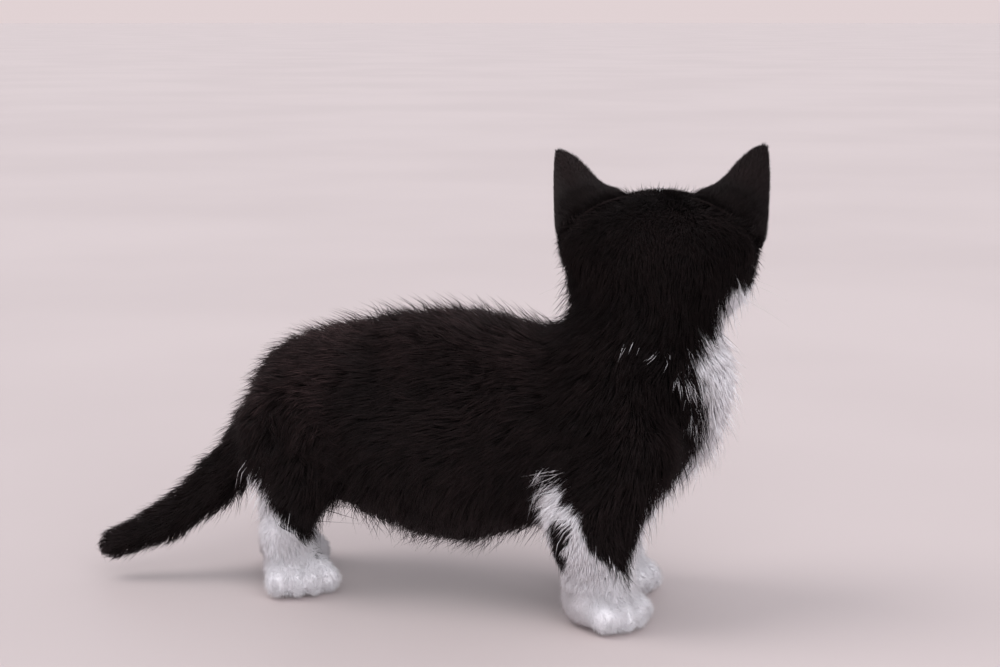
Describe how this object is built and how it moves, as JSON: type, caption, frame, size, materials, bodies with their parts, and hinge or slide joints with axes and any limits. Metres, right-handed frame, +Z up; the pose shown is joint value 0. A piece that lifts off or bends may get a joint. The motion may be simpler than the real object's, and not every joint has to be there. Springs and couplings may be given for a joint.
{
  "type": "munchkin cat",
  "caption": "Short-legged kitten standing on four paws with its head turned to its left and its tail held low, a still life-size model.",
  "frame": {"origin": "middle of the bounding box on the floor the paws stand on", "axes": "+Z up, -Y the way the body faces, +X the kitten's left; the head is turned towards +X"},
  "size_m": [0.0864, 0.2312, 0.1568],
  "materials": {
    "fur_black": "soft kitten fur, warm black",
    "fur_white": "soft kitten fur, white",
    "ear_fur": "short velvety fur over thin skin",
    "eye": "wet and clear",
    "nose_leather": "fine grain, slightly moist"
  },
  "bodies": {
    "root": {"torso": "fur_black", "neck": "fur_black", "head": "fur_black", "nose": "nose_leather", "tail_base": "fur_black", "tail_middle": "fur_black", "tail_tip": "fur_black", "ear_left": "ear_fur", "eye_left": "eye", "foreleg_left": "fur_black", "forearm_left": "fur_white", "forepaw_left": "fur_white", "thigh_left": "fur_black", "shank_left": "fur_white", "hindpaw_left": "fur_white", "ear_right": "ear_fur", "eye_right": "eye", "foreleg_right": "fur_black", "forearm_right": "fur_white", "forepaw_right": "fur_white", "thigh_right": "fur_black", "shank_right": "fur_white", "hindpaw_right": "fur_white"}
  },
  "joints": []
}
